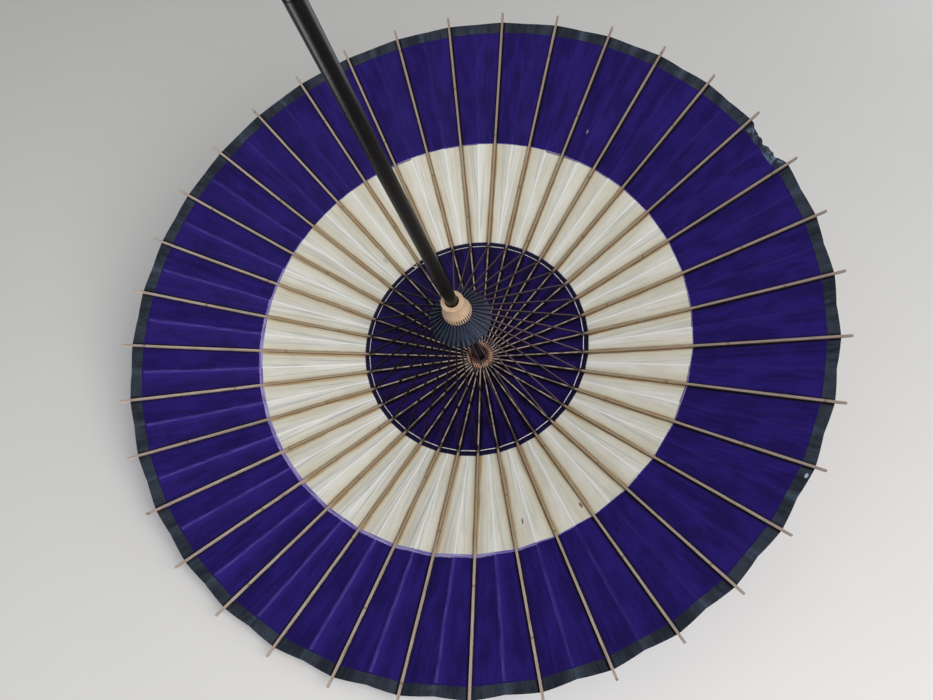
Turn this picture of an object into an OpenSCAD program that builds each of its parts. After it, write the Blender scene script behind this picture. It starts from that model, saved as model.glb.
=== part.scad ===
/* [Overall] */
// Number of ribs, with one stretcher under each
rib_count = 36; // [24:1:36]
// Radius from the shaft's axis to the rib tips, open
tip_r = 500; // [420:5:600]
// Length of the shaft from its lower end to its top
shaft_len = 815; // [780:5:980]
// Diameter of the shaft
shaft_d = 16.6; // [14:0.2:20]
// Length of the shaft's turned-down lower end
end_len = 30; // [20:1:34]

/* [Ribs] */
// Slope of the open ribs where they leave the head, in degrees
rib_slope = 19.4; // [16:0.2:24]
// How far the tips hang below straight ribs
rib_bend = 20; // [10:1:26]
// Width of a rib just outside the head
rib_head_w = 2.2; // [1.6:0.1:2.3]
// Width of a rib at its joint with the stretcher
rib_mid_w = 2.9; // [2.4:0.1:3.0]
// Width of a rib at its tip
rib_tip_w = 3.3; // [2.4:0.1:3.5]
// Depth of a rib just outside the head
rib_head_t = 4.0; // [3.6:0.1:4.4]
// Depth of a rib at its joint with the stretcher
rib_mid_t = 5.0; // [4.4:0.1:5.4]
// Depth of a rib at its tip
rib_tip_t = 2.4; // [1.8:0.1:3]
// Length of the bare rib tips past the paper
tip_bare = 12; // [6:1:20]

/* [Hubs and stretchers] */
// Wall from the shaft to the outside of either hub
hub_wall = 12.2; // [10:0.2:15]
// Distance from the head's pivots down to the runner's pivots, open
open_gap = 190; // [156:1:230]
// Radius where the stretchers meet the ribs, open
joint_r = 165; // [135:1:200]
// Width of a stretcher
strut_w = 1.7; // [1.4:0.1:2]
// Depth of a stretcher
strut_t = 3.4; // [2.8:0.1:3.6]
// Length of the runner below its pivots
runner_below = 34; // [30:1:42]
// Width of the paper collar on the stretchers
collar_w = 21; // [14:1:30]

/* [Paper] */
// Thickness of the oiled paper
paper_t = 0.5; // [0.3:0.1:0.8]
// How far the inner disc reaches past the stretchers' joints
disc_past = 6.5; // [4:0.5:12]
// Width of the white ring, along the radius
ring_w = 145; // [110:1:180]
// Width of the strip along the rim
rim_w = 16; // [10:1:24]

/* [Hidden] */
$fn = 96;
// clearances
side_gap = 0.15;      // rib or stretcher eye to the side of its slot
thread_gap = 0.06;    // hinge thread to the eyes and teeth it runs through
slide_gap = 0.06;     // runner to shaft, radial
glue_gap = 0.02;      // glued or nailed pieces, radial
paper_gap = 0.3;      // paper to the ribs and stretchers it lies on
// hubs
shaft_r = shaft_d / 2;
hub_r = shaft_r + hub_wall;
pivot_inset = 4.5;    // hinge axes inside the hubs' outer faces
pivot_r = hub_r - pivot_inset;
slot_depth = 2.9;     // slot floor inside the hinge axes
slot_r = pivot_r - slot_depth;
pitch = 2 * PI * pivot_r / rib_count;
eye_w = 0.54 * pitch;
cheek = 0.06;         // how far an eye stands out beside its bar
bar_w = eye_w - 2 * cheek;
slot_w = eye_w + 2 * side_gap;
well_r = slot_r - 1;  // hollow in the head around the shaft
eye_r = 2.1;
thread_r = 0.55;
thread_hole = thread_r + thread_gap;
// heights
head_seat = 15;       // shaft above the head's hinge axes
head_z = shaft_len - head_seat;
runner_z = head_z - open_gap;
runner_low = runner_z - runner_below;
runner_top = 4.5;
mouth_r = shaft_r + 7.3;
mouth_gap = 1.4;      // mouth's opening to the shaft, radial
mouth_deep = 12;
slot_low = 7.5;       // foot of the runner's slots below its pivots
flange_low = 8.5;
flange_top = 4.5;
neck_r = shaft_r + 4.7;
neck_top = 22;
nail_r = 1.5;
tube_wall = 2.8;      // wall of the shaft's hollow lower end
end_step = 0.4;       // shoulder above the turned-down lower end
plug_len = 38;
// ribs
bend_k = rib_bend / pow(tip_r - pivot_r, 2);
paper_r = tip_r - tip_bare;
disc_r = joint_r + disc_past;
ring_r = disc_r + ring_w;
rim_r = paper_r - rim_w;
collar_in = hub_r + 2.5;
collar_r = collar_in + collar_w;
eye_len = 12;         // narrow part of a rib, from its pivot
joint_drop = 1.0;     // joint axis below the rib's middle
joint_hole = 0.45;
fork_w = 1.5;
fork_in = 9;
fork_out = 5;
function mid_z(x) = head_z - (tan(rib_slope) * (x - pivot_r) + bend_k * pow(x - pivot_r, 2));
function slope_at(x) = atan(tan(rib_slope) + 2 * bend_k * (x - pivot_r));
function half_t(x) = x < joint_r
    ? (rib_head_t + (rib_mid_t - rib_head_t) * (x - pivot_r) / (joint_r - pivot_r)) / 2
    : (rib_mid_t + (rib_tip_t - rib_mid_t) * (x - joint_r) / (tip_r - joint_r)) / 2;
function top_z(x) = mid_z(x) + half_t(x);
function low_z(x) = mid_z(x) - half_t(x);
stations = [for (k = [0:12]) pivot_r + (tip_r - pivot_r) * k / 12];
// stretchers
joint_z = mid_z(joint_r) - joint_drop;
strut_dx = joint_r - pivot_r;
strut_dz = joint_z - runner_z;
strut_len = norm([strut_dx, strut_dz]);
strut_a = atan2(strut_dz, strut_dx);
strut_eye_w = fork_w - 2 * 0.2;
strut_bar_w = strut_eye_w - 2 * cheek;
strut_eye_t = 2.6;
strut_eye_r = 1.5;
// catch
catch_a = 70;
catch_w = 2.2;
catch_slot_w = catch_w + 0.4;
catch_out = 2.6;
catch_len = 38;
catch_pin_r = 0.9;
catch_pin_at = 3.8;

function rib_name(i) = str("rib_", i < 10 ? "0" : "", i);

module around() {
    for (k = [0:rib_count - 1]) rotate([0, 0, k * 360 / rib_count]) children();
}

module thread_ring(r, z, t) {
    translate([0, 0, z]) rotate_extrude() translate([r, 0]) circle(r = t, $fn = 24);
}

module cross_pin(x, z, r, len) {
    translate([x, 0, z]) rotate([90, 0, 0]) cylinder(r = r, h = len, center = true, $fn = 32);
}

// one slot for an eye, open outwards and at one face
module eye_slot(z0, z1) {
    translate([slot_r, -slot_w / 2, z0]) cube([hub_r - slot_r + 2, slot_w, z1 - z0]);
}

module shaft() {
    color([0.035, 0.03, 0.03]) difference() {
        union() {
            cylinder(r = shaft_r - end_step, h = end_len + 1);
            translate([0, 0, end_len]) cylinder(r = shaft_r, h = shaft_len - 1 - end_len);
            translate([0, 0, shaft_len - 1]) cylinder(r1 = shaft_r, r2 = shaft_r - 1, h = 1);
        }
        translate([0, 0, -1]) cylinder(r = shaft_r - tube_wall, h = plug_len + 3);
        rotate([0, 0, catch_a]) translate([1.5, -catch_slot_w / 2, runner_low - catch_len - 2])
            cube([shaft_r, catch_slot_w, catch_len + 3]);
        rotate([0, 0, catch_a]) cross_pin(catch_pin_at, catch_foot_z(), catch_pin_r, 2 * shaft_r);
        nail_hole(nail_r);
    }
}

function nail_z() = head_z + 10;
function catch_foot_z() = runner_low - catch_len + 2.5;

module nail_hole(r) {
    translate([0, 0, nail_z()]) rotate([0, 90, 0])
        cylinder(r = r, h = 2 * neck_r + 2, center = true, $fn = 32);
}

module end_plug() {
    color([0.16, 0.10, 0.07]) cylinder(r = shaft_r - tube_wall - glue_gap, h = plug_len);
}

module head_hub() {
    color([0.52, 0.36, 0.30]) difference() {
        translate([0, 0, head_z]) rotate_extrude() polygon([
            [shaft_r + glue_gap, 1 - flange_low / 2],
            [well_r - 0.8, 1 - flange_low / 2],
            [well_r, -flange_low],
            [hub_r - 1.2, -flange_low],
            [hub_r, -flange_low + 1.2],
            [hub_r, flange_top - 1],
            [hub_r - 1, flange_top],
            [neck_r, flange_top + 2],
            [neck_r, neck_top - 1.5],
            [neck_r - 1.5, neck_top],
            [0, neck_top],
            [0, head_seat + 0.1],
            [shaft_r + glue_gap, head_seat + 0.1]
        ]);
        around() eye_slot(head_z - flange_low - 1, head_z + 3);
        thread_ring(pivot_r, head_z, thread_hole);
        nail_hole(nail_r);
    }
}

module head_nail() {
    color([0.45, 0.34, 0.22]) translate([0, 0, nail_z()]) rotate([0, 90, 0])
        cylinder(r = nail_r - glue_gap, h = 2 * neck_r - 0.6, center = true, $fn = 32);
}

module head_thread() {
    color([0.12, 0.10, 0.14]) thread_ring(pivot_r, head_z, thread_r);
}

// paper cap over the outside of the head: skirt on the inner paper, neck tied to the hub
module head_cover() {
    skirt_r = hub_r + 8;
    skirt_z = top_z(skirt_r) + paper_gap + paper_t + 0.2;
    color([0.07, 0.06, 0.08]) rotate_extrude() polygon([
        [skirt_r, skirt_z],
        [hub_r + 0.4, head_z + flange_top + 0.2],
        [neck_r + 1.6, head_z + flange_top + 2.4],
        [neck_r + 0.1, head_z + flange_top + 4],
        [neck_r + 0.1, head_z + neck_top + 0.1],
        [0, head_z + neck_top + 0.1],
        [0, head_z + neck_top + 4],
        [neck_r * 0.6, head_z + neck_top + 3],
        [neck_r + 0.5, head_z + neck_top + 0.5],
        [neck_r + 1.1, head_z + neck_top - 2],
        [neck_r + 1.1, head_z + flange_top + 4.6],
        [neck_r + 2.2, head_z + flange_top + 3.6],
        [hub_r + 0.8, head_z + flange_top + 1.4],
        [skirt_r + 0.2, skirt_z + 1]
    ]);
}

module cover_cord() {
    color([0.10, 0.09, 0.12]) for (k = [0:2])
        thread_ring(neck_r + 1.1 + 0.82, head_z + 11 + k * 1.75, 0.8);
}

module runner() {
    color([0.83, 0.66, 0.50]) difference() {
        translate([0, 0, runner_z]) rotate_extrude() polygon([
            [shaft_r + slide_gap, mouth_deep - runner_below],
            [shaft_r + mouth_gap, mouth_deep - 1 - runner_below],
            [shaft_r + mouth_gap, -runner_below],
            [mouth_r - 0.8, -runner_below],
            [mouth_r, 0.8 - runner_below],
            [mouth_r, 7 - runner_below],
            [mouth_r + 0.35 * (hub_r - mouth_r), -16],
            [mouth_r + 0.7 * (hub_r - mouth_r), -8],
            [hub_r - 0.4, -3.5],
            [hub_r, -1.5],
            [hub_r, runner_top - 0.6],
            [hub_r - 0.6, runner_top],
            [shaft_r + slide_gap, runner_top]
        ]);
        around() eye_slot(runner_z - slot_low, runner_z + runner_top + 1);
        thread_ring(pivot_r, runner_z, thread_hole);
    }
}

module runner_thread() {
    color([0.80, 0.76, 0.70]) thread_ring(pivot_r, runner_z, thread_r);
}

// one stretcher along +X, rising from the runner's pivot to the rib's fork
module strut() {
    root = hub_r - pivot_r + 3;
    translate([pivot_r, 0, runner_z]) rotate([0, -strut_a, 0]) difference() {
        union() {
            translate([0, -bar_w / 2, -strut_t / 2]) cube([root, bar_w, strut_t]);
            cross_pin(0, 0, eye_r - 0.1, eye_w);
            translate([root - 0.5, -strut_w / 2, -strut_t / 2])
                cube([strut_len - root - fork_in, strut_w, strut_t]);
            translate([strut_len - fork_in - 1, -strut_bar_w / 2, -strut_eye_t / 2])
                cube([fork_in + 1, strut_bar_w, strut_eye_t]);
            cross_pin(strut_len, 0, strut_eye_r, strut_eye_w);
        }
        cross_pin(0, 0, thread_hole, eye_w + 1);
        cross_pin(strut_len, 0, joint_hole, strut_w + 1);
    }
}

module stretchers() {
    color([0.20, 0.12, 0.16]) around() strut();
}

// paper collar glued along the upper edges of the stretchers
module runner_collar() {
    lift = (strut_t / 2 + 0.2) / cos(strut_a);
    color([0.29, 0.38, 0.50]) rotate_extrude() polygon([
        [collar_in, runner_z + (collar_in - pivot_r) * tan(strut_a) + lift],
        [collar_r, runner_z + (collar_r - pivot_r) * tan(strut_a) + lift],
        [collar_r, runner_z + (collar_r - pivot_r) * tan(strut_a) + lift + 0.7],
        [collar_in, runner_z + (collar_in - pivot_r) * tan(strut_a) + lift + 0.7]
    ]);
}

// thread from joint to joint, just outside the forks and under the ribs
module joint_thread() {
    at_r = joint_r + fork_out + 1.5;
    color([0.92, 0.92, 0.90]) thread_ring(at_r, low_z(at_r) - paper_gap - 0.5, 0.5);
}

// leaf of springy bamboo that stands out of its slot under the runner
module catch_spring() {
    color([0.62, 0.50, 0.33]) rotate([0, 0, catch_a]) difference() {
        translate([0, catch_w / 2, 0]) rotate([90, 0, 0]) linear_extrude(height = catch_w) polygon([
            [2.2, runner_low - catch_len],
            [5.4, runner_low - catch_len],
            [5.6, runner_low - catch_len + 8],
            [shaft_r + catch_out, runner_low - 7],
            [shaft_r + catch_out, runner_low - paper_gap],
            [shaft_r + 0.3, runner_low - paper_gap],
            [5.6, runner_low - 7],
            [2.2, runner_low - catch_len + 9]
        ]);
        cross_pin(catch_pin_at, catch_foot_z(), catch_pin_r + 0.03, 2 * catch_w);
    }
}

module catch_pin() {
    color([0.50, 0.40, 0.28]) rotate([0, 0, catch_a])
        cross_pin(catch_pin_at, catch_foot_z(), catch_pin_r - glue_gap,
            2 * sqrt(pow(shaft_r, 2) - pow(catch_pin_at, 2)) - 2.4);
}

// paper shell between two radii, lying on the ribs
module shell(r0, r1) {
    xs = concat([r0], [for (x = stations) if (x > r0 + 1 && x < r1 - 1) x], [r1]);
    n = len(xs);
    rotate_extrude() polygon(concat(
        [for (i = [0:n - 1]) [xs[i], top_z(xs[i]) + paper_gap]],
        [for (i = [n - 1:-1:0]) [xs[i], top_z(xs[i]) + paper_gap + paper_t]]
    ));
}

module paper_disc() {
    color([0.11, 0.07, 0.24]) shell(hub_r + 1.2, disc_r);
}

module paper_ring() {
    color([0.90, 0.89, 0.84]) shell(disc_r, ring_r);
}

module paper_band() {
    color([0.13, 0.09, 0.38]) shell(ring_r, rim_r);
}

module paper_rim() {
    color([0.20, 0.25, 0.30]) shell(rim_r, paper_r);
}

// one rib along +X: side outline crossed with the plan outline, then its eye and fork
module rib_body() {
    n = len(stations);
    side = concat(
        [for (i = [0:n - 1]) [stations[i], top_z(stations[i])]],
        [for (i = [n - 1:-1:0]) [stations[i], low_z(stations[i])]]
    );
    wide = [
        [pivot_r - 1, bar_w],
        [pivot_r + eye_len, bar_w],
        [pivot_r + eye_len + 3, rib_head_w],
        [joint_r - fork_in - 3, rib_mid_w],
        [tip_r - 2, rib_tip_w],
        [tip_r + 1, rib_tip_w - 1]
    ];
    plan = concat(
        [for (p = wide) [p[0], -p[1] / 2]],
        [for (i = [len(wide) - 1:-1:0]) [wide[i][0], wide[i][1] / 2]]
    );
    intersection() {
        translate([0, 5, 0]) rotate([90, 0, 0]) linear_extrude(height = 10) polygon(side);
        translate([0, 0, low_z(tip_r) - 5]) linear_extrude(height = head_z - low_z(tip_r) + 20)
            polygon(plan);
    }
}

module rib(i) {
    color([0.62, 0.53, 0.44]) rotate([0, 0, (i - 1) * 360 / rib_count]) difference() {
        union() {
            rib_body();
            cross_pin(pivot_r, head_z, eye_r, eye_w);
        }
        cross_pin(pivot_r, head_z, thread_hole, eye_w + 2);
        translate([joint_r, 0, mid_z(joint_r)]) rotate([0, slope_at(joint_r), 0])
            translate([-fork_in, -fork_w / 2, -rib_mid_t])
                cube([fork_in + fork_out, fork_w, rib_mid_t + 0.9]);
        cross_pin(joint_r, joint_z, joint_hole, 2 * rib_mid_w);
    }
}

shaft();
end_plug();
head_hub();
head_nail();
head_thread();
head_cover();
cover_cord();
runner();
runner_thread();
stretchers();
runner_collar();
joint_thread();
catch_spring();
catch_pin();
paper_disc();
paper_ring();
paper_band();
paper_rim();
for (i = [1:rib_count]) rib(i);
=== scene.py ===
import bpy
import bmesh
import math
from mathutils import Matrix, Vector, noise


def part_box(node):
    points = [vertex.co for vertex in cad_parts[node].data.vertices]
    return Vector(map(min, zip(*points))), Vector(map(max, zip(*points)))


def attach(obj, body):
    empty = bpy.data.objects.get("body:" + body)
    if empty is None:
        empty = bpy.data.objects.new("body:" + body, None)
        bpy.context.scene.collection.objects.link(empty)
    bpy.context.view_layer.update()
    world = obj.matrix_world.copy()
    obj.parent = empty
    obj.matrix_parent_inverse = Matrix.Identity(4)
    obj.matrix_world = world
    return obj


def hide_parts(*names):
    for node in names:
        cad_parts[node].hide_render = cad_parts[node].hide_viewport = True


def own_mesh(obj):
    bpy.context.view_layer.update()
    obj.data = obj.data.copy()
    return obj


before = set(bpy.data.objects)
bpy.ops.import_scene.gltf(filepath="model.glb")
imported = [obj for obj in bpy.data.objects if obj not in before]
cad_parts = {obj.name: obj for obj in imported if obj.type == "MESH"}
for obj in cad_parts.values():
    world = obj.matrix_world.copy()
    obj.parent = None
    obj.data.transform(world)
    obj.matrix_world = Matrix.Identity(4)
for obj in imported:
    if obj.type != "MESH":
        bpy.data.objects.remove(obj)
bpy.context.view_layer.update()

# The umbrella's measures in metres, the same as its CAD parts have.
umbrella = {
    "ribCount": 36,
    "pivotRadius": 0.016,
    "hubRadius": 0.0205,
    "headHeight": 0.800,
    "runnerHeight": 0.610,
    "jointRadius": 0.165,
    "tipRadius": 0.500,
    "ribSlope": math.radians(19.4),
    "ribBend": 0.020,
    "ribDepths": (0.0040, 0.0050, 0.0024),
    "brightSide": 0.62,    # radians; the side where the painted sheen is strongest and the painted shade weakest
}
step = 2 * math.pi / umbrella["ribCount"]
ribNumbers = range(umbrella["ribCount"])


def ribMiddle(radius):  # height of a rib's middle line
    out = radius - umbrella["pivotRadius"]
    bend = umbrella["ribBend"] / (umbrella["tipRadius"] - umbrella["pivotRadius"]) ** 2
    return umbrella["headHeight"] - math.tan(umbrella["ribSlope"]) * out - bend * out ** 2


def alongRib(radius, values):  # a value at the head, at the joint and at the tip
    head, joint, tip = values
    inner, middle, outer = umbrella["pivotRadius"], umbrella["jointRadius"], umbrella["tipRadius"]
    if radius < middle:
        return head + (joint - head) * (radius - inner) / (middle - inner)
    return joint + (tip - joint) * (radius - middle) / (outer - middle)


def ribTop(radius):
    return ribMiddle(radius) + alongRib(radius, umbrella["ribDepths"]) / 2


def polar(radius, angle, height):
    return Vector((radius * math.cos(angle), radius * math.sin(angle), height))


def smooth(x, low, high):
    t = min(1, max(0, (x - low) / (high - low)))
    return t * t * (3 - 2 * t)


# ---- camera ----
camera = {
    "place": (-0.1846, -0.4209, -0.3718),
    "right": (-0.982246, -0.031718, 0.184897),
    "up": (-0.092593, 0.939154, -0.330781),
    "forward": (0.163155, 0.342028, 0.925417),
    "lens": 30.66,       # millimetres, on a sensor 36 wide
    "sensor": 36,
    "clip": (0.01, 50),
}


def makeCamera():
    data = bpy.data.cameras.new("camera")
    data.lens, data.sensor_width, data.sensor_fit = camera["lens"], camera["sensor"], "HORIZONTAL"
    data.clip_start, data.clip_end = camera["clip"]
    made = bpy.data.objects.new("camera", data)
    right, up, forward = (Vector(camera[k]).normalized() for k in ("right", "up", "forward"))
    made.matrix_world = Matrix.Translation(camera["place"]) @ Matrix((right, up, -forward)).transposed().to_4x4()
    bpy.context.collection.objects.link(made)
    bpy.context.scene.camera = made


makeCamera()
print("camera placed")


# ---- material graphs ----
class Wire:  # one output of a node; arithmetic on it adds Math nodes
    def __init__(self, graph, socket):
        self.graph, self.socket = graph, socket

    def maths(self, operation, *others):
        return self.graph.maths(operation, self, *others)

    def output(self, name):
        return Wire(self.graph, self.socket.node.outputs[name])

    def __add__(self, other):
        return self.maths("ADD", other)

    def __sub__(self, other):
        return self.maths("SUBTRACT", other)

    def __mul__(self, other):
        return self.maths("MULTIPLY", other)

    def __truediv__(self, other):
        return self.maths("DIVIDE", other)

    def __pow__(self, other):
        return self.maths("POWER", other)

    def __rsub__(self, other):
        return self.graph.maths("SUBTRACT", other, self)

    def __rtruediv__(self, other):
        return self.graph.maths("DIVIDE", other, self)

    def __abs__(self):
        return self.maths("ABSOLUTE")

    __radd__, __rmul__ = __add__, __mul__


class Graph:  # the node tree of one material
    def __init__(self, name):
        self.material = bpy.data.materials.new(name)
        self.material.use_nodes = True
        self.tree = self.material.node_tree
        self.tree.nodes.clear()

    def node(self, kind, settings=None, values=None, output=0):
        made = self.tree.nodes.new("ShaderNode" + kind)
        for name, value in (settings or {}).items():
            setattr(made, name, value)
        for name, value in (values or {}).items():
            if isinstance(value, Wire):
                self.tree.links.new(value.socket, made.inputs[name])
            else:
                made.inputs[name].default_value = value
        return Wire(self, made.outputs[output]) if made.outputs else None

    def maths(self, operation, *terms):
        return self.node("Math", {"operation": operation}, dict(enumerate(terms)))

    def between(self, wire, low, high):  # 0 at low, 1 at high, eased
        return self.node("MapRange", {"interpolation_type": "SMOOTHSTEP"},
                         {"Value": wire, "From Min": low, "From Max": high})

    def mixed(self, share, first, second):
        first, second = (c if isinstance(c, Wire) else (*c, 1) for c in (first, second))
        return self.node("Mix", {"data_type": "RGBA"}, {0: share, 6: first, 7: second}, 2)

    def parts(self, vector):
        split = self.node("SeparateXYZ", None, {0: vector})
        return split, split.output("Y"), split.output("Z")

    def vector(self, x=0, y=0, z=0):
        return self.node("CombineXYZ", None, {0: x, 1: y, 2: z})

    def noise(self, vector, scale, detail=3, roughness=0.5):
        return self.node("TexNoise", None, {"Vector": vector, "Scale": scale, "Detail": detail, "Roughness": roughness})

    def scaled(self, vector, x, y, z):
        return self.node("VectorMath", {"operation": "MULTIPLY"}, {0: vector, 1: (x, y, z)})

    def place(self):  # the piece's own coordinates, in metres
        return self.node("TexCoord", None, None, "Object")

    def bump(self, height, distance, strength):
        return self.node("Bump", None, {"Height": height, "Distance": distance, "Strength": strength})

    def finish(self, colour, roughness, normal=None, **others):
        values = {"Base Color": colour if isinstance(colour, Wire) else (*colour, 1), "Roughness": roughness}
        if normal is not None:
            values["Normal"] = normal
        values.update(others)
        shader = self.node("BsdfPrincipled", None, values)
        self.node("OutputMaterial", None, {"Surface": shader})
        return self.material


def perRib(graph, place):  # distance from the axis, and sideways from the nearest rib's middle
    x, y, z = graph.parts(place)
    radius = (x * x + y * y) ** 0.5
    turns = graph.maths("ARCTAN2", y, x) / step
    nearest = turns.maths("ROUND")
    return radius, radius * ((turns - nearest) * step).maths("SINE"), nearest, z


def lacquerBlack():
    g = Graph("shaftLacquer")
    place = g.place()
    long = g.noise(g.scaled(place, 260, 260, 5), 1, 4, 0.6)
    specks = g.noise(place, 900, 2, 0.6)
    scuffs = g.between(g.noise(g.scaled(place, 500, 500, 60), 1, 5, 0.7), 0.62, 0.74)
    colour = g.mixed(long, (0.0026, 0.0020, 0.0024), (0.0080, 0.0062, 0.0060))
    colour = g.mixed(scuffs * 0.5, colour, (0.050, 0.038, 0.032))
    roughness = 0.26 + 0.16 * long + 0.25 * scuffs
    normal = g.bump(long + specks * 0.25, 0.00035, 0.5)
    gloss = {"Specular IOR Level": 0.20, "Coat Weight": 0.04, "Coat Roughness": 0.2}
    return g.finish(colour, roughness, normal, **gloss)


def turnedWood(name, dark, light, grain, ring, gloss, paintedToothLight=None):
    g = Graph(name)
    place = g.place()
    radius, side, nearest, height = perRib(g, place)
    fibres = g.noise(g.scaled(place, 900, 900, 40), 1, 5, 0.65)
    blotch = g.noise(place, 110, 3, 0.5)
    turned = g.noise(g.vector(0, 0, height * ring), 1, 3, 0.7)
    shade = fibres * grain + blotch * 0.35 + turned * 0.25
    colour = g.mixed(g.between(shade, 0.35, 0.85), dark, light)
    pores = g.between(g.noise(g.scaled(place, 2200, 2200, 160), 1, 2, 0.5), 0.60, 0.72)
    colour = g.mixed(pores * 0.35, colour, [c * 0.35 for c in dark])
    if paintedToothLight:
        # painted shade in the slots between the teeth and a painted highlight on the tooth tips
        tooth = g.between(radius, paintedToothLight["from"] - 0.0012, paintedToothLight["from"] + 0.0004)
        ridge = g.between(abs(side), 0.0007, 0.0012) * tooth
        colour = g.mixed(tooth * (1 - ridge) * 0.95, colour, (0.008, 0.005, 0.006))
        colour = g.mixed(ridge * 0.85, colour, paintedToothLight["tone"])
    normal = g.bump(turned * 0.7 + fibres * 0.3, 0.0003, 0.55)
    return g.finish(colour, gloss + 0.2 * fibres, normal)


def ribBamboo():
    g = Graph("ribBamboo")
    place = g.place()
    radius, side, nearest, height = perRib(g, place)
    width = 0.00145 + 0.0005 * (radius - 0.165) / 0.335
    within = 1 - g.between(radius, 0.150, 0.175)
    out = g.between(radius, 0.300, 0.330)
    lean = side / width + 0.20 * out     # past the white ring the ribs are dark down one side
    edge = g.between(abs(lean), 0.74 - 0.28 * within + 0.20 * out, 0.94 - 0.12 * within + 0.22 * out)
    own = g.noise(g.vector(nearest * 3.7, radius * 2.5, 5), 1, 2, 0.5)
    fibre = g.noise(g.vector(radius * 60, side * 3600, nearest * 1.3), 1, 4, 0.65)
    stain = g.noise(g.vector(radius * 24, side * 500, nearest * 2.1 + 9), 1, 4, 0.65)
    colour = g.mixed(g.between(fibre, 0.3, 0.7), (0.300, 0.222, 0.180), (0.700, 0.575, 0.490))
    colour = g.mixed(g.between(own, 0.45, 0.75) * 0.6, colour, (0.290, 0.225, 0.200))
    colour = g.mixed(g.between(stain, 0.55, 0.72) * 0.6, colour, (0.150, 0.080, 0.042))
    oily = (1 - g.between(radius, 0.300, 0.330)) * g.between(radius, 0.160, 0.180)
    colour = g.mixed(oily * 0.58, colour, (0.370, 0.270, 0.120))
    colour = g.mixed(within * 0.55, colour, (0.700, 0.550, 0.500))
    # dark dashes on the ribs inside the disc: painted shadow of the stretchers crossing in front
    stretcherShadowDashes = g.between(g.noise(g.vector(radius * 55, nearest * 9.3, 3), 1, 2, 0.5), 0.46, 0.56)
    colour = g.mixed(within * stretcherShadowDashes * 0.62, colour, (0.040, 0.022, 0.022))
    colour = g.mixed(g.between(radius, 0.489, 0.497) * 0.6, colour, (0.50, 0.42, 0.35))
    turned = nearest * step + umbrella["brightSide"]
    farSideShade = g.between(turned.maths("COSINE"), 0.5, -0.7)     # ribs on the side away from brightSide are browner and darker: painted shade
    colour = g.mixed(farSideShade * out * 0.50, colour, (0.255, 0.190, 0.160))
    nodeRing = g.maths("FRACT", radius * 5.3 + nearest * 0.377)
    joint = 1 - g.between(abs(nodeRing - 0.5), 0.004, 0.012)
    colour = g.mixed(joint * 0.6, colour, (0.16, 0.10, 0.06))
    # rib edges darkened: partly dark lacquer, partly painted shade of the gap beside each rib
    colour = g.mixed(edge * (1 - 0.45 * oily), colour, g.mixed(oily, (0.016, 0.009, 0.009), (0.110, 0.052, 0.018)))
    normal = g.bump(fibre * 0.6 + joint * 0.6, 0.0002, 0.6)
    return g.finish(colour, 0.46 + 0.2 * fibre, normal, **{"Specular IOR Level": 0.35})


def twisted(name, dark, light, turn):
    g = Graph(name)
    place = g.place()
    radius, side, nearest, height = perRib(g, place)
    angle = g.maths("ARCTAN2", *reversed(g.parts(place)[:2]))
    strand = (angle * turn + height * 2600).maths("SINE") * 0.5 + 0.5
    fuzz = g.noise(place, 2500, 3, 0.7)
    colour = g.mixed(g.between(strand * 0.6 + fuzz * 0.4, 0.25, 0.75), dark, light)
    return g.finish(colour, 0.85, g.bump(strand + fuzz * 0.5, 0.0003, 0.8))


def plainBamboo():
    g = Graph("catchBamboo")
    place = g.place()
    fibre = g.noise(g.scaled(place, 2600, 2600, 45), 1, 4, 0.6)
    colour = g.mixed(g.between(fibre, 0.3, 0.7), (0.27, 0.17, 0.08), (0.52, 0.39, 0.22))
    return g.finish(colour, 0.4 + 0.2 * fibre, g.bump(fibre, 0.0002, 0.5))


def paintNode(name, material):
    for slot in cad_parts[name].material_slots:
        slot.material = material


def paintFrame():
    bamboo, thread = ribBamboo(), twisted("threadPale", (0.42, 0.38, 0.33), (0.86, 0.83, 0.76), 60)
    darkThread = twisted("threadDark", (0.010, 0.008, 0.014), (0.055, 0.045, 0.065), 60)
    nail = plainBamboo()
    for name in ("head_nail", "catch_pin"):
        paintNode(name, nail)
    paintNode("shaft", lacquerBlack())
    paintNode("end_plug", turnedWood("plugWood", (0.030, 0.016, 0.010), (0.11, 0.065, 0.04), 0.5, 90, 0.5))
    # the head's teeth get painted shade in their slots and a painted highlight tone on their tips
    paintNode("head_hub", turnedWood("headWood", (0.075, 0.030, 0.026), (0.260, 0.120, 0.085), 0.5, 700, 0.50,
                                     {"from": 0.0150, "tone": (0.980, 0.560, 0.370)}))
    paintNode("runner", turnedWood("runnerWood", (0.64, 0.43, 0.27), (0.94, 0.72, 0.52), 0.45, 900, 0.45))
    paintNode("head_thread", darkThread)
    paintNode("cover_cord", darkThread)
    paintNode("runner_thread", thread)
    for rib in ribNumbers:
        paintNode("rib_%02d" % (rib + 1), bamboo)


paintFrame()
print("frame painted")


# ---- paper ----
# A piece's map "gore" holds the radius in metres, and the rib's number plus the distance sideways in metres.
def goreReading(g):
    spot = g.node("UVMap", {"uv_map": "gore"})
    radius, along, unused = g.parts(spot)
    nearest = along.maths("ROUND")
    side = along - nearest
    share = abs(side) / (radius * math.tan(step / 2))
    return spot, radius, side, nearest, share


paper = {
    "thickness": 0.0005,
    "discInner": 0.0217,
    "discOuter": 0.1715,
    "ringOuter": 0.3165,
    "rimInner": 0.472,
    "outer": 0.488,
    "sag": 0.060,          # of half a gore's width
    "wobble": 0.0005,
    "scallop": 0.0022,
    "tear": {"middle": math.radians(155.2), "half": math.radians(4.7), "depth": 0.012, "ribs": (15, 16)},
}


def fibres(g, radius, side, nearest, fine=1.0):
    own = nearest * 7.13
    return g.noise(g.vector(radius * 26 * fine, side * 420 * fine, own), 1, 5, 0.62)


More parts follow.
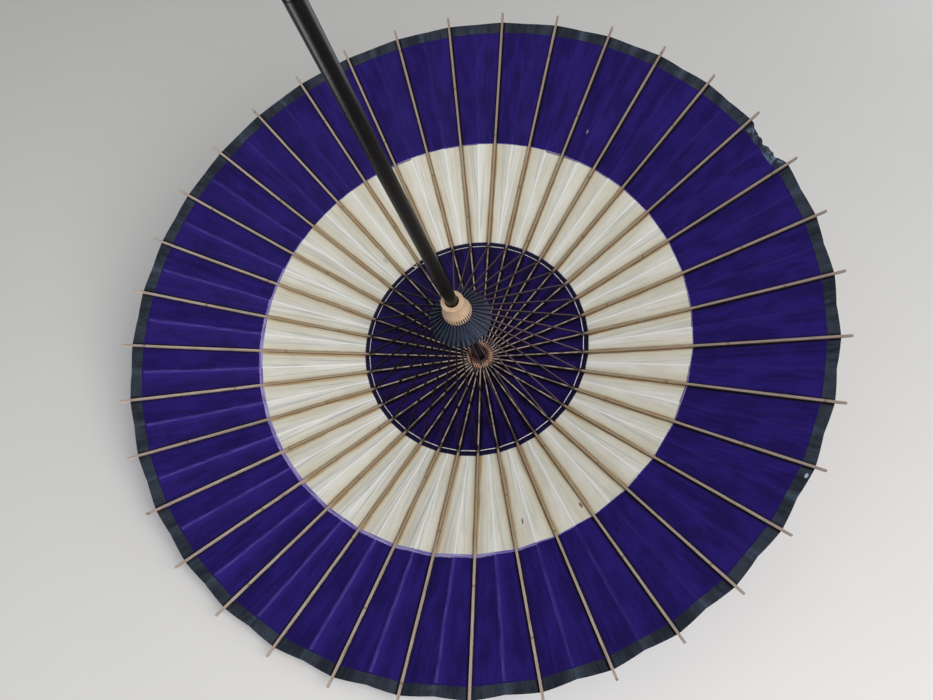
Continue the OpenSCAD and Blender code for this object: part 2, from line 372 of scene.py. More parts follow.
def blemish(g, radius, along, place, size, softness=0.5):
    aroundIt = g.vector((radius - place[0]) / size[0], (along - place[1]) / size[1], 0)
    away = g.node("VectorMath", {"operation": "LENGTH"}, {0: aroundIt}, "Value")
    ragged = g.noise(aroundIt, 2.2, 3, 0.7) - 0.5
    return 1 - g.between(away + ragged * 0.9, 1 - softness, 1)


def creaseLine(g, radius, share, half):  # 1 on the fold between two ribs, half wide in metres
    return 1 - g.between((1 - share) * radius * math.tan(step / 2) / half, 0.35, 1.0)


def paperWhite():
    g = Graph("paperWhite")
    spot, radius, side, nearest, share = goreReading(g)
    along = g.parts(spot)[1]
    fibre = fibres(g, radius, side, nearest)
    cloud = g.noise(g.vector(radius * 14, along * 30, 2), 1, 4, 0.55)
    streak = g.noise(g.vector(radius * 5, side * 230, nearest * 3.3), 1, 4, 0.6)
    colour = g.mixed(g.between(cloud, 0.3, 0.7), (0.72, 0.70, 0.60), (0.86, 0.85, 0.78))
    colour = g.mixed(g.between(streak, 0.47, 0.70) * 0.60, colour, (0.47, 0.48, 0.47))
    colour = g.mixed(g.between(fibre, 0.52, 0.70) * 0.5, colour, (0.94, 0.94, 0.91))
    flank = side.maths("SIGN")
    warm = 1 - g.between(share, 0.10, 0.90)
    colour = g.mixed(warm * 0.50, colour, (0.66, 0.58, 0.38))
    soaked = g.noise(g.vector(radius * 11, nearest * 5.1 + flank * 2.3, 7), 1, 3, 0.6)
    reach = 0.0028 + 0.0062 * g.between(soaked, 0.3, 0.75)
    halo = 1 - g.between(abs(side) / reach, 0.45, 1.0)
    colour = g.mixed(halo * 0.66, colour, (0.50, 0.335, 0.145))
    resin = g.between(g.noise(g.vector(radius * 19, nearest * 3.3 + flank * 4.1, 1), 1, 3, 0.6), 0.40, 0.62)
    ridge = 1 - g.between(abs(abs(side) - 0.0034) / 0.0014, 0.2, 1.0)
    colour = g.mixed(ridge * resin * 0.75, colour, (0.42, 0.205, 0.060))
    tight = 1 - g.between(abs(side - 0.0006), 0.0018, 0.0028)
    colour = g.mixed(tight * 0.72, colour, (0.085, 0.055, 0.024))
    # grey-blue streaks strongest on the brightSide: painted shading of the paper's undulations
    paintedSideShade = g.between((along * step + umbrella["brightSide"]).maths("COSINE"), 0.1, 0.9) * g.between(streak, 0.50, 0.62)
    colour = g.mixed(paintedSideShade * g.between(share, 0.35, 0.75) * 0.45, colour, (0.42, 0.46, 0.53))
    # lighter line along each fold: partly worn paper, partly painted highlight of the crease
    foldWearAndHighlight = creaseLine(g, radius, share, 0.0015)
    colour = g.mixed(foldWearAndHighlight * (0.55 + 0.45 * streak), colour, (0.985, 0.985, 0.97))
    bleed = g.between(radius + 0.0030 * g.noise(g.vector(along * 400, nearest, 0), 1, 3, 0.7), 0.17465, 0.17365)
    colour = g.mixed(bleed, colour, (0.018, 0.010, 0.055))
    turned = along * step + 0.75
    uneven = g.noise(g.vector(along * 3, radius * 4, 3), 1, 3, 0.6)
    over = paper["ringOuter"] - 0.0005 - 0.0036 * g.between(uneven, 0.45, 0.8)
    bleedOut = g.between(radius - over, 0, 0.0006) * g.between(turned.maths("COSINE"), 0.2, -0.3)
    colour = g.mixed(bleedOut * 0.8, colour, (0.045, 0.030, 0.150))
    colour = g.mixed(blemish(g, radius, along, (0.296, 24.006), (0.0055, 0.0022)), colour, (0.30, 0.13, 0.09))
    colour = g.mixed(blemish(g, radius, along, (0.283, 25.985), (0.0060, 0.0012)), colour, (0.08, 0.05, 0.04))
    colour = g.mixed(blemish(g, radius, along, (0.205, 4.993), (0.0080, 0.0050), 0.9) * 0.5, colour, (0.33, 0.34, 0.37))
    height = fibre * 0.5 + streak * 0.8 + cloud * 0.4
    return g.finish(colour, 0.46 + 0.14 * fibre, g.bump(height, 0.0009, 0.55),
                    **{"Specular IOR Level": 0.35})


def darkPaper(name, low, high, beside, satin):
    g = Graph(name)
    spot, radius, side, nearest, share = goreReading(g)
    along = g.parts(spot)[1]
    fibre = fibres(g, radius, side, nearest, 1.3)
    cloud = g.noise(g.vector(radius * 20, along * 46, 4), 1, 5, 0.6)
    streak = g.noise(g.vector(radius * 4, side * 260, nearest * 2.7), 1, 4, 0.6)
    colour = g.mixed(g.between(cloud, 0.36, 0.64), low, high)
    colour = g.mixed(g.between(fibre, 0.50, 0.72) * 0.40, colour, [c * 1.6 for c in high])
    colour = g.mixed(g.between(streak, 0.50, 0.72) * 0.45, colour, [c * 0.40 for c in low])
    reach = 0.0040 + 0.0060 * g.noise(g.vector(radius * 13, nearest * 4.3, 3), 1, 3, 0.6)
    colour = g.mixed((1 - g.between(abs(side) / reach, 0.3, 1.0)) * 0.80, colour, beside)
    # near-black line along each rib, shifted to one side past the white ring: painted shadow
    ribShadowLine = 1 - g.between(abs(side - 0.0012 * g.between(radius, 0.25, 0.33)), 0.0026, 0.0036)
    colour = g.mixed(ribShadowLine * 0.92, colour, (0.0022, 0.0015, 0.0030))
    height = fibre * 0.5 + streak * 0.9 + cloud * 0.35
    return g, radius, along, side, nearest, share, colour, fibre, g.bump(height, 0.0008, 0.5), satin


def finishDark(parts, colour=None):
    g, radius, along, side, nearest, share, plain, fibre, normal, satin = parts
    return g.finish(plain if colour is None else colour, satin + 0.14 * fibre, normal, **{"Specular IOR Level": 0.14})


def paperViolet():
    parts = darkPaper("paperViolet", (0.0080, 0.0034, 0.040), (0.0200, 0.0092, 0.128), (0.004, 0.0025, 0.014), 0.50)
    g, radius, along, side, nearest, share, colour = parts[:7]
    glued = g.between(radius + 0.0016 * g.noise(g.vector(along * 90, nearest, 6), 1, 3, 0.6), 0.1640, 0.1662)
    colour = g.mixed(glued * 0.7, colour, (0.0065, 0.0045, 0.018))
    return finishDark(parts, colour)


def paperUltramarine():
    parts = darkPaper("paperUltramarine", (0.0118, 0.0046, 0.096), (0.0215, 0.0092, 0.158), (0.007, 0.005, 0.028), 0.44)
    g, radius, along, side, nearest, share, colour = parts[:7]
    broken = g.between(g.noise(g.vector(radius * 30, side * 900, nearest * 3.9), 1, 4, 0.7), 0.34, 0.66)
    facing = (along * step + umbrella["brightSide"]).maths("COSINE")
    lit = 0.10 + 0.90 * g.between(facing, -0.1, 0.9)     # painted sheen, strongest on the brightSide
    sway = 0.05 * (g.noise(g.vector(radius * 16, nearest * 6.1, 2), 1, 2, 0.5) - 0.5)
    # painted sheen beside each fold on one side, and a painted lighter line on the fold itself
    creaseSheen = (1 - g.between(1 - share, 0.04, 0.42)) * g.between(side, -0.001, 0.001)
    colour = g.mixed(creaseSheen * lit * 0.32, colour, (0.046, 0.022, 0.300))
    colour = g.mixed(creaseLine(g, radius, share + sway, 0.0030) * broken * lit * 0.70, colour, (0.140, 0.094, 0.480))
    turned = along * step + 0.70                      # the glued overlap shows widest round this side
    width = 0.0007 + 0.0042 * g.between(turned.maths("COSINE"), 0.15, 0.75)
    wave = 0.0026 * (g.noise(g.vector(along * 9, side * 260, 0), 1, 4, 0.6) - 0.5)
    inOverlap = 1 - g.between(radius - paper["ringOuter"] - width - wave, -0.0004, 0.0003)
    fibreRun = g.noise(g.vector(along * 34, radius * 420, 6), 1, 3, 0.6)
    lavender = g.mixed(g.between(fibreRun, 0.35, 0.65), (0.16, 0.12, 0.42), (0.46, 0.41, 0.72))
    colour = g.mixed(inOverlap * 0.88, colour, lavender)
    spot = blemish(g, radius, along, (0.3590, 12.0235), (0.0042, 0.0024), 0.8)
    colour = g.mixed(spot * 0.85, colour, (0.42, 0.25, 0.37))
    return finishDark(parts, colour)


def paperSlate():
    parts = darkPaper("paperSlate", (0.0150, 0.0198, 0.0310), (0.0380, 0.0495, 0.0710), (0.008, 0.010, 0.014), 0.52)
    g, radius, along, side, nearest, share, colour = parts[:7]
    worn = g.between(share + 0.5 * (g.noise(g.vector(radius * 160, along * 60, 8), 1, 4, 0.6) - 0.5), 0.72, 1.0)
    patchy = g.between(g.noise(g.vector(nearest * 3.1, side * 60, 4), 1, 2, 0.5), 0.35, 0.65)
    colour = g.mixed(worn * patchy * 0.55, colour, (0.076, 0.114, 0.165))
    inkEdge = paper["rimInner"] + 0.0002 + 0.0034 * g.noise(g.vector(nearest, side * 130, 5), 1, 4, 0.7)
    ink = 1 - g.between(radius - inkEdge, -0.0005, 0.0005)
    colour = g.mixed(ink, colour, (0.0150, 0.0060, 0.110))
    turn = nearest * step + side / radius
    torn = g.between(abs(turn - paper["tear"]["middle"]), paper["tear"]["half"], paper["tear"]["half"] * 0.75)
    apart = g.between(abs(turn - paper["tear"]["middle"] + 0.010), 0.012, 0.050)
    rag = g.between(g.noise(g.vector(radius * 105, turn * 42, 2), 1, 3, 0.55), 0.42, 0.58)
    colour = g.mixed(torn * rag * (0.12 + 0.70 * apart), colour, (0.165, 0.225, 0.330))
    colour = g.mixed(blemish(g, radius, along, (0.484, 21.013), (0.0025, 0.0040)), colour, (0.42, 0.50, 0.62))
    return finishDark(parts, colour)


def wearAt(angle):  # how far the torn rim has lost paper, at this angle
    tear = paper["tear"]
    near = 1 - smooth(abs(angle - tear["middle"]), tear["half"] * 0.60, tear["half"])
    return tear["depth"] * near * (0.40 + 0.75 * abs(noise.noise(Vector((angle * 42, 3.1, 0.7)))))


def paperPoint(rib, radius, across):  # a point of the paper's inner face; across is -1 to 1 from crease to crease
    half, share = step / 2, abs(across)
    width = radius * math.tan(half)
    angle = rib * step + across * half
    edge = smooth(radius, paper["rimInner"], paper["outer"])
    out = radius - (paper["scallop"] * share ** 2 + wearAt(angle)) * edge
    middle = Vector((out * math.cos(half) ** 2, out * math.cos(half) * math.sin(half) * math.copysign(1, across), 0))
    flat = Vector((out, 0, 0)).lerp(middle, share)
    drop = paper["sag"] * width * share ** 1.35 * smooth(radius, 0.03, 0.30)
    wobble = noise.noise(Vector((angle * 22, radius * 9, 1.3)))
    wobble += 0.5 * noise.noise(Vector((angle * 60, radius * 26, 4)))
    drop += paper["wobble"] * wobble * min(1, share * 3) * smooth(radius, 0.05, 0.25)
    place = Matrix.Rotation(rib * step, 3, "Z") @ flat
    place.z = ribTop(radius) + 0.00012 - drop
    return place, (radius, rib + width * across)


def sheetPiece(name, point, along, across, thickness, outwards, body, material):
    mesh = bmesh.new()
    bmesh.ops.create_grid(mesh, x_segments=along, y_segments=across, size=1)
    gore = mesh.loops.layers.uv.new("gore")
    marks = {}
    for vert in mesh.verts:
        vert.co, marks[vert] = point((vert.co.x + 1) / 2, vert.co.y)
    for face in mesh.faces:
        for loop in face.loops:
            loop[gore].uv = marks[loop.vert]
    mesh.normal_update()
    if sum((f.normal * f.calc_area() for f in mesh.faces), Vector()).dot(outwards) > 0:
        bmesh.ops.reverse_faces(mesh, faces=mesh.faces[:])
    bmesh.ops.solidify(mesh, geom=mesh.faces[:], thickness=thickness)
    return meshPiece(name, mesh, body, material, 0.7)


def meshPiece(name, mesh, body, material, sharpness=0.6):
    data = bpy.data.meshes.new(name)
    mesh.to_mesh(data)
    mesh.free()
    data.shade_smooth()
    data.set_sharp_from_angle(angle=sharpness)
    data.materials.append(material)
    piece = bpy.data.objects.new(name, data)
    bpy.context.collection.objects.link(piece)
    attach(piece, body)
    return piece


def ribName(rib):
    return "rib_%02d" % (rib + 1)


def makePaper():
    kinds = (
        ("paperDisc", "paper_disc", "paper_violet", paperViolet(), paper["discInner"], paper["discOuter"], 12, 10),
        ("paperRing", "paper_ring", "paper_white", paperWhite(), paper["discOuter"], paper["ringOuter"], 14, 12),
        ("paperBand", "paper_band", "paper_ultramarine", paperUltramarine(), paper["ringOuter"], paper["rimInner"],
         14, 12),
        ("paperRim", "paper_rim", "paper_slate", paperSlate(), paper["rimInner"], paper["outer"], 4, 12),
    )
    for rib in ribNumbers:
        for name, node, slot, material, inner, outer, along, across in kinds:
            torn = name == "paperRim" and rib in paper["tear"]["ribs"]

            def point(u, across, rib=rib, inner=inner, outer=outer):
                return paperPoint(rib, inner + (outer - inner) * u, across)

            piece = sheetPiece("%s_%02d" % (name, rib + 1), point, along * (2 if torn else 1),
                               across * (4 if torn else 1), paper["thickness"], Vector((0, 0, 1)),
                               ribName(rib), material)
            anchor = polar((inner + outer) / 2, rib * step, ribTop((inner + outer) / 2))
            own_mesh(piece)
            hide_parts(node)
            width = 2 * outer * math.sin(step / 2)
            length = math.dist((inner, ribTop(inner)), (outer, ribTop(outer)))
            area = length * (inner + outer) * math.sin(step / 2)


makePaper()
print("paper laid")


# ---- stretchers, collar and joint thread ----
stretcher = {"width": 0.0017, "depth": 0.0034, "endWidth": 0.0010, "endDepth": 0.0026, "bevel": 0.00022}
jointHeight = ribMiddle(umbrella["jointRadius"]) - 0.001
stretcherRise = math.atan2(jointHeight - umbrella["runnerHeight"], umbrella["jointRadius"] - umbrella["pivotRadius"])
stretcherLength = math.dist((umbrella["pivotRadius"], umbrella["runnerHeight"]), (umbrella["jointRadius"], jointHeight))


def stretcherLacquer():
    g = Graph("stretcherLacquer")
    spot = g.node("UVMap", {"uv_map": "strip"})
    along, around, unused = g.parts(spot)
    fibre = g.noise(g.vector(along * 60, around * 3000, 0), 1, 4, 0.6)
    own = g.noise(g.vector(around.maths("FLOOR") * 5.7, 0, 0), 1, 2, 0.5)
    colour = g.mixed(g.between(fibre, 0.3, 0.7), (0.0110, 0.0055, 0.0105), (0.072, 0.040, 0.056))
    litSide = g.between((around * step + 0.35).maths("COSINE"), 0.35, -0.35)     # stretchers on one side are painted lighter as if lit; those on the other side are painted dark as shade
    colour = g.mixed(litSide * (0.30 + 0.40 * g.between(own, 0.44, 0.60)), colour, (0.175, 0.120, 0.160))
    colour = g.mixed((1 - litSide) * 0.80, colour, (0.0035, 0.0020, 0.0035))
    sideways = g.between(around.maths("FRACT"), 0.46, 0.54)     # its side faces stay darker
    colour = g.mixed(sideways * 0.75, colour, (0.005, 0.003, 0.005))
    tied = (1 - g.between(along, 0.024, 0.031)) * (1 - sideways)
    colour = g.mixed(tied * 0.85, colour, (0.040, 0.058, 0.100))
    return g.finish(colour, 0.42 + 0.2 * fibre, g.bump(fibre, 0.0002, 0.5), **{"Specular IOR Level": 0.18})


def makeStretchers():
    material = stretcherLacquer()
    stations = (-0.0016, 0.002, 0.006, 0.009, 0.03, 0.06, 0.10, 0.14, stretcherLength - 0.011,
                stretcherLength - 0.009, stretcherLength - 0.004, stretcherLength + 0.0012)
    for rib in ribNumbers:
        mesh = bmesh.new()
        bmesh.ops.create_cube(mesh, size=1)
        strip = mesh.loops.layers.uv.new("strip")
        bmesh.ops.translate(mesh, vec=(0.5, 0, 0), verts=mesh.verts[:])
        for place in stations[1:-1]:
            share = (place - stations[0]) / (stations[-1] - stations[0])
            bmesh.ops.bisect_plane(mesh, geom=mesh.verts[:] + mesh.edges[:] + mesh.faces[:],
                                   plane_co=(share, 0, 0), plane_no=(1, 0, 0))
        for vert in mesh.verts:
            place = stations[0] + vert.co.x * (stations[-1] - stations[0])
            slim = smooth(place, stretcherLength - 0.011, stretcherLength - 0.009)
            root = 1 - smooth(place, 0.006, 0.009)
            width = stretcher["width"] * (1 - 0.16 * root) * (1 - slim) + stretcher["endWidth"] * slim
            depth = stretcher["depth"] * (1 - slim) + stretcher["endDepth"] * slim
            bow = 0.0004 * math.sin(rib * 2.4) * math.sin(math.pi * place / stretcherLength)
            vert.co = Vector((place, vert.co.y * width + bow, vert.co.z * depth))
        mesh.normal_update()
        long = [e for e in mesh.edges if abs((e.verts[0].co - e.verts[1].co).x) > 0.0005]
        bmesh.ops.bevel(mesh, geom=long, offset=stretcher["bevel"], offset_type="OFFSET", segments=2,
                        profile=0.5, affect="EDGES", material=-1)
        mesh.normal_update()
        for face in mesh.faces:
            for loop in face.loops:
                co = loop.vert.co
                loop[strip].uv = (co.x, rib + 0.4 + 0.2 * abs(face.normal.y) + co.y + co.z)
        pivot = Matrix.Translation((umbrella["pivotRadius"], 0, umbrella["runnerHeight"]))
        turn = Matrix.Rotation(rib * step, 4, "Z") @ pivot @ Matrix.Rotation(-stretcherRise, 4, "Y")
        bmesh.ops.transform(mesh, matrix=turn, verts=mesh.verts[:])
        piece = meshPiece("stretcher_%02d" % (rib + 1), mesh, "runner", material)
        outwards = polar(1, rib * step, 0)
        polar(umbrella["pivotRadius"] + 0.001, rib * step, umbrella["runnerHeight"])
        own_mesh(piece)
        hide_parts("stretchers")


makeStretchers()
print("stretchers made")

collar = {"inner": 0.0222, "outer": 0.0440, "thickness": 0.0004, "sag": 0.15, "lift": 0.00205, "flat": (0.0135, 0.0265)}


def collarPaper():
    g = Graph("collarPaper")
    spot, radius, side, nearest, share = goreReading(g)
    along = g.parts(spot)[1]
    fibre = fibres(g, radius, side, nearest, 3)
    cloud = g.noise(g.vector(radius * 90, along * 200, 4), 1, 4, 0.6)
    colour = g.mixed(g.between(cloud, 0.35, 0.7), (0.018, 0.034, 0.068), (0.048, 0.082, 0.145))
    colour = g.mixed(g.between(fibre, 0.5, 0.7) * 0.35, colour, (0.095, 0.145, 0.225))
    # near-black line along each stretcher: painted shade in the pleat valleys
    colour = g.mixed((1 - g.between(abs(side), 0.0008, 0.0019)) * 0.8, colour, (0.006, 0.008, 0.014))
    # dark and light streaks across the pleats: painted shade and painted highlight of the folds
    pleats = g.noise(g.vector(side * 1500, nearest * 7.7, radius * 25), 1, 3, 0.6)
    colour = g.mixed(g.between(pleats, 0.48, 0.66) * 0.65, colour, (0.008, 0.011, 0.020))
    colour = g.mixed(g.between(pleats, 0.42, 0.30) * 0.55, colour, (0.110, 0.165, 0.250))
    edge = g.between(radius, 0.0425, 0.0440)
    colour = g.mixed(edge * 0.3, colour, (0.085, 0.120, 0.180))
    return g.finish(colour, 0.55 + 0.15 * fibre, g.bump(fibre + cloud, 0.0005, 0.5))


def makeCollar():
    material = collarPaper()
    for rib in ribNumbers:
        def point(u, across, rib=rib):
            radius = collar["inner"] + (collar["outer"] - collar["inner"]) * u
            ragged = 0.0030 * noise.noise(Vector((rib * 1.7 + across * 0.9, 5.2, 0))) * smooth(u, 0.5, 1)
            width = radius * math.tan(step / 2)
            angle = rib * step + across * step / 2
            low = (radius - umbrella["pivotRadius"]) * math.tan(stretcherRise)
            pleat = collar["sag"] * width * 4 * (1 - math.cos(across * math.pi)) / 2
            place = polar(radius + ragged, angle, umbrella["runnerHeight"] + low + collar["lift"] - pleat)
            return place, (radius, rib + width * across)

        piece = sheetPiece("collar_%02d" % (rib + 1), point, 5, 6, collar["thickness"], Vector((0, 0, 1)),
                           "runner", material)
        polar(1, rib * step, 0)
        polar(umbrella["hubRadius"], rib * step, umbrella["runnerHeight"])
        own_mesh(piece)
        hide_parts("runner_collar")


makeCollar()
print("collar made")

thread = {"ply": 0.00042, "turn": 0.0032, "stepsATurn": 6, "sag": 0.0006}


def threadCotton():
    g = Graph("threadCotton")
    place = g.place()
    fuzz = g.noise(place, 2400, 3, 0.7)
    soil = g.noise(place, 120, 3, 0.6)
    radius, side, nearest, height = perRib(g, place)
    colour = g.mixed(g.between(soil, 0.4, 0.75) * 0.6, (0.88, 0.88, 0.85), (0.50, 0.48, 0.44))
    knot = 1 - g.between(abs(side) + 0.0012 * (soil - 0.5), 0.0026, 0.0046)
    colour = g.mixed(knot * 0.9, colour, (0.060, 0.040, 0.030))
    return g.finish(colour, 0.85, g.bump(fuzz, 0.0002, 0.8))


def plyRun(mesh, start, end, ply, turn):  # two strands twisted round each other, from start to end
    length = (end - start).length
    steps = max(3, round(length / turn * thread["stepsATurn"]))
    made = bmesh.ops.create_circle(mesh, cap_ends=False, segments=8, radius=ply)
    ring = made["verts"]
    for vert in ring:
        vert.co.x *= 1.75
        vert.co.y *= 1 - 0.25 * (1 - abs(vert.co.x) / (1.75 * ply))
    edges = list({e for v in ring for e in v.link_edges})
    spun = bmesh.ops.spin(mesh, geom=ring + edges, cent=(0, 0, 0), axis=(0, 0, 1), dvec=(0, 0, length / steps),
                          angle=2 * math.pi * length / turn, steps=steps, use_merge=False)
    last = [x for x in spun["geom_last"] if isinstance(x, bmesh.types.BMVert)]
    mesh.verts.ensure_lookup_table()
    whole = set(ring)
    todo = list(ring)
    while todo:
        for edge in todo.pop().link_edges:
            for vert in edge.verts:
                if vert not in whole:
                    whole.add(vert)
                    todo.append(vert)
    for loop in (ring, last):
        rim = [e for e in {e for v in loop for e in v.link_edges} if all(v in set(loop) for v in e.verts)]
        bmesh.ops.contextual_create(mesh, geom=rim)
    turned = (end - start).to_track_quat("Z", "Y").to_matrix().to_4x4()
    bmesh.ops.transform(mesh, matrix=Matrix.Translation(start) @ turned, verts=list(whole))


def makeJointThread():
    material = threadCotton()
    radius, height = umbrella["jointRadius"], jointHeight
    for rib in ribNumbers:
        mesh = bmesh.new()
        here = polar(radius, rib * step, height)
        for side in (-1, 1):
            there = polar(radius * math.cos(step / 2), (rib + side / 2) * step, height - thread["sag"])
            plyRun(mesh, here, there, thread["ply"], thread["turn"])
        bmesh.ops.recalc_face_normals(mesh, faces=mesh.faces[:])
        piece = meshPiece("jointThread_%02d" % (rib + 1), mesh, ribName(rib), material, 1.2)
        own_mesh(piece)
        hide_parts("joint_thread")


makeJointThread()
print("joint thread tied")


knot = {"rib": 6, "angle": math.radians(57.2), "radius": 0.1662, "size": 0.0016, "ends": (0.013, 0.009)}


def makeKnot():  # where the joint thread was tied off, with its two ends left loose
    mesh = bmesh.new()
    middle = polar(knot["radius"], knot["angle"], jointHeight - 0.0007)
    tangentWay = Vector((-math.sin(knot["angle"]), math.cos(knot["angle"]), 0))
    outWay = polar(1, knot["angle"], 0)
    bmesh.ops.create_icosphere(mesh, subdivisions=3, radius=knot["size"], matrix=Matrix.Translation(middle))
    for vert in mesh.verts:
        vert.co += (vert.co - middle) * 0.35 * noise.noise(vert.co * 1400)
    for length, way in zip(knot["ends"], (tangentWay * 0.9 + outWay * 0.45, outWay * 0.8 - tangentWay * 0.5)):
        far = middle + way.normalized() * length + Vector((0, 0, -0.0012))
        plyRun(mesh, middle, far, thread["ply"] * 0.8, thread["turn"])
    bmesh.ops.recalc_face_normals(mesh, faces=mesh.faces[:])
    piece = meshPiece("threadKnot", mesh, ribName(knot["rib"]), threadCotton(), 1.2)
    polar(umbrella["jointRadius"], knot["rib"] * step, jointHeight)
    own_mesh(piece)
    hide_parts("joint_thread")


makeKnot()
print("knot tied")

cap = {
    "profile": ((0.0286, 0.7998), (0.0235, 0.8030), (0.0208, 0.8052), (0.0175, 0.8068), (0.0150, 0.8084),
                (0.01415, 0.8100), (0.01405, 0.8128), (0.01415, 0.8152), (0.0156, 0.8178), (0.0158, 0.8200),
                (0.0140, 0.8222), (0.0095, 0.8238), (0.0045, 0.8246), (0.0012, 0.8249)),     # radius and height
    "waist": 0.8128, "pleats": 26, "depth": 0.0011, "thickness": 0.0004, "flat": (0.185, 0.045),
}


def capPaper():
    g = Graph("capPaper")
    place = g.place()
    fibre = g.noise(place, 700, 4, 0.7)
    worn = g.between(g.noise(place, 190, 4, 0.7), 0.5, 0.72)
    colour = g.mixed(fibre, (0.010, 0.008, 0.015), (0.040, 0.033, 0.050))
    colour = g.mixed(worn * 0.5, colour, (0.085, 0.075, 0.095))
    return g.finish(colour, 0.42 + 0.25 * fibre, g.bump(fibre + worn, 0.0004, 0.6), **{"Specular IOR Level": 0.3})


def makeCap():  # pleated paper tied down over the head
    rows, turns, profile = 40, 156, cap["profile"]
    mesh = bmesh.new()
    bmesh.ops.create_grid(mesh, x_segments=rows, y_segments=turns, size=1)
    for vert in mesh.verts:
        share, angle = (vert.co.x + 1) / 2 * (len(profile) - 1), (vert.co.y + 1) * math.pi
        first = min(int(share), len(profile) - 2)
        radius, height = Vector(profile[first]).lerp(Vector(profile[first + 1]), share - first)
        loose = smooth(abs(height - cap["waist"]), 0.0022, 0.0055) * smooth(radius, 0.001, 0.009)
        uneven = 1.5 * noise.noise(polar(1, angle, 0) * 3)
        wave = math.asin(0.96 * math.sin(cap["pleats"] * angle + uneven))
        radius -= cap["depth"] * loose * (0.5 + wave / math.pi)
        height -= 0.0005 * loose * (0.5 + wave / math.pi) * smooth(height, 0.818, 0.823)
        vert.co = polar(radius, angle, height)
    bmesh.ops.remove_doubles(mesh, verts=mesh.verts[:], dist=0.00001)
    mesh.normal_update()
    if sum((f.normal.dot(f.calc_center_median() - Vector((0, 0, 0.79))) * f.calc_area() for f in mesh.faces)) > 0:
        bmesh.ops.reverse_faces(mesh, faces=mesh.faces[:])
    bmesh.ops.solidify(mesh, geom=mesh.faces[:], thickness=cap["thickness"])
    bmesh.ops.recalc_face_normals(mesh, faces=mesh.faces[:])
    piece = meshPiece("capPaper", mesh, "shaft_and_head", capPaper(), 0.9)
    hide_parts("head_cover")


makeCap()
print("cap tied")


# ---- catch ----
catch = {"angle": math.radians(70), "width": 0.0020, "foot": 0.0054, "spring": 0.0055, "thickness": 0.0014}


def makeCatch():
    low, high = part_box("catch_spring")
    middle = catch["angle"]
    axisOut = polar(1, middle, 0)
    mesh = bmesh.new()
    bmesh.ops.create_grid(mesh, x_segments=14, y_segments=3, size=1)
    for vert in mesh.verts:
        u, across = (vert.co.x + 1) / 2, vert.co.y
        out = catch["foot"] + catch["spring"] * smooth(u, 0.20, 0.86) - 0.0006 * smooth(u, 0.9, 1)
        place = Vector((out, across * catch["width"] / 2, low.z + (high.z - low.z) * u))
        vert.co = Matrix.Rotation(middle, 3, "Z") @ place
    mesh.normal_update()
    bmesh.ops.solidify(mesh, geom=mesh.faces[:], thickness=-catch["thickness"])     # the wall goes inwards
    bmesh.ops.recalc_face_normals(mesh, faces=mesh.faces[:])
    piece = meshPiece("catchLeaf", mesh, "shaft_and_head", plainBamboo())
    polar(0.0040, middle, low.z)
    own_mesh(piece)
    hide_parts("catch_spring")


makeCatch()
print("catch made")


# ---- floor, light and air ----
stage = {
    "tone": (0.90, 0.89, 0.87),
    "behindNormal": (-0.18507, 0.32522, -0.92735),
    "behindPlace": (0, 0, 0.8275),
    "behindRadius": 2.2,
    "floorRadius": 6.0,
    "air": (0.86, 0.87, 0.88),
    "airStrength": 0.37,
    "lightTarget": (0, 0, 0.66),
    "lights": (          # name, place, size in metres, watts, tint
        ("insideKey", (-1.35, -0.95, -1.15), 1.9, 38, (1, 0.985, 0.96)),
        ("insideFill", (0.9, -1.3, -1.1), 1.6, 6.5, (0.94, 0.97, 1)),
        ("outsideKey", (1.6, -1.6, 2.6), 1.6, 52, (1, 0.98, 0.95)),
        ("outsideFill", (-2.0, 1.4, 1.8), 2.0, 25, (0.94, 0.97, 1)),
    ),
}


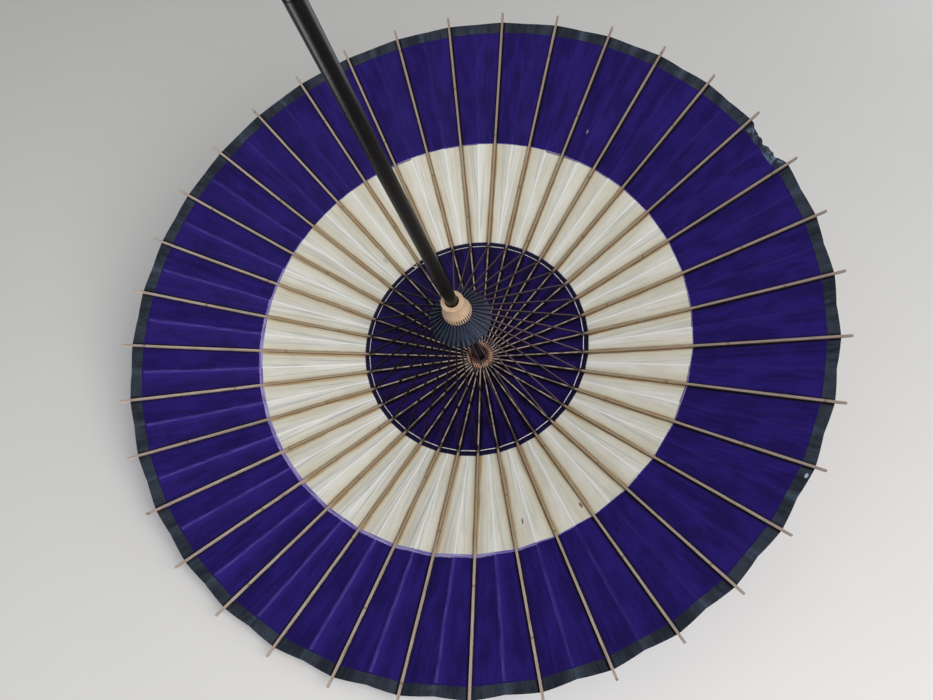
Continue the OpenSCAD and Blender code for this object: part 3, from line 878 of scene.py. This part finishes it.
def floorTone(name, fade):
    g = Graph(name)
    place = g.place()
    grain = g.noise(place, 7, 4, 0.5)
    colour = g.mixed(grain, [c * 0.97 for c in stage["tone"]], stage["tone"])
    solid = g.node("BsdfPrincipled", None, {"Base Color": colour, "Roughness": 0.7, "Specular IOR Level": 0.2})
    clear = g.node("BsdfTransparent")
    away = g.node("VectorMath", {"operation": "LENGTH"}, {0: place}, "Value")
    hidden = g.node("NewGeometry", None, None, "Backfacing").maths("MAXIMUM", g.between(away, fade[0], fade[1]))
    mix = g.node("MixShader", None, {0: hidden, 1: solid, 2: clear})
    g.node("OutputMaterial", None, {"Surface": mix})
    return g.material


def stageDisc(name, radius, matrix, material):
    mesh = bmesh.new()
    bmesh.ops.create_circle(mesh, cap_ends=True, segments=96, radius=radius)
    data = bpy.data.meshes.new(name)
    mesh.to_mesh(data)
    mesh.free()
    data.materials.append(material)
    made = bpy.data.objects.new(name, data)
    made.matrix_world = matrix
    bpy.context.collection.objects.link(made)
    made.visible_diffuse = made.visible_glossy = made.visible_transmission = made.visible_shadow = False


def areaLight(name, place, size, power, colour):
    data = bpy.data.lights.new(name, "AREA")
    data.shape, data.size, data.energy, data.color = "DISK", size, power, colour
    made = bpy.data.objects.new(name, data)
    made.location = place
    made.rotation_mode = "QUATERNION"
    made.rotation_quaternion = (Vector(stage["lightTarget"]) - Vector(place)).to_track_quat("-Z", "Y")
    bpy.context.collection.objects.link(made)


def makeStage():
    normal = Vector(stage["behindNormal"])
    tilt = normal.to_track_quat("Z", "Y").to_matrix().to_4x4()
    stageDisc("floorBehind", stage["behindRadius"], Matrix.Translation(stage["behindPlace"]) @ tilt,
              floorTone("floorBehind", (1.6, 2.15)))
    stageDisc("floorPlain", stage["floorRadius"], Matrix.Translation((0, 0, -0.002)), floorTone("floorPlain", (3, 5.8)))
    world = bpy.data.worlds.new("studioAir")
    world.use_nodes = True
    air = world.node_tree.nodes["Background"]
    air.inputs["Color"].default_value = (*stage["air"], 1)
    air.inputs["Strength"].default_value = stage["airStrength"]
    bpy.context.scene.world = world
    bpy.context.scene.view_settings.view_transform = "Standard"
    for light in stage["lights"]:
        areaLight(*light)


makeStage()
print("stage lit")
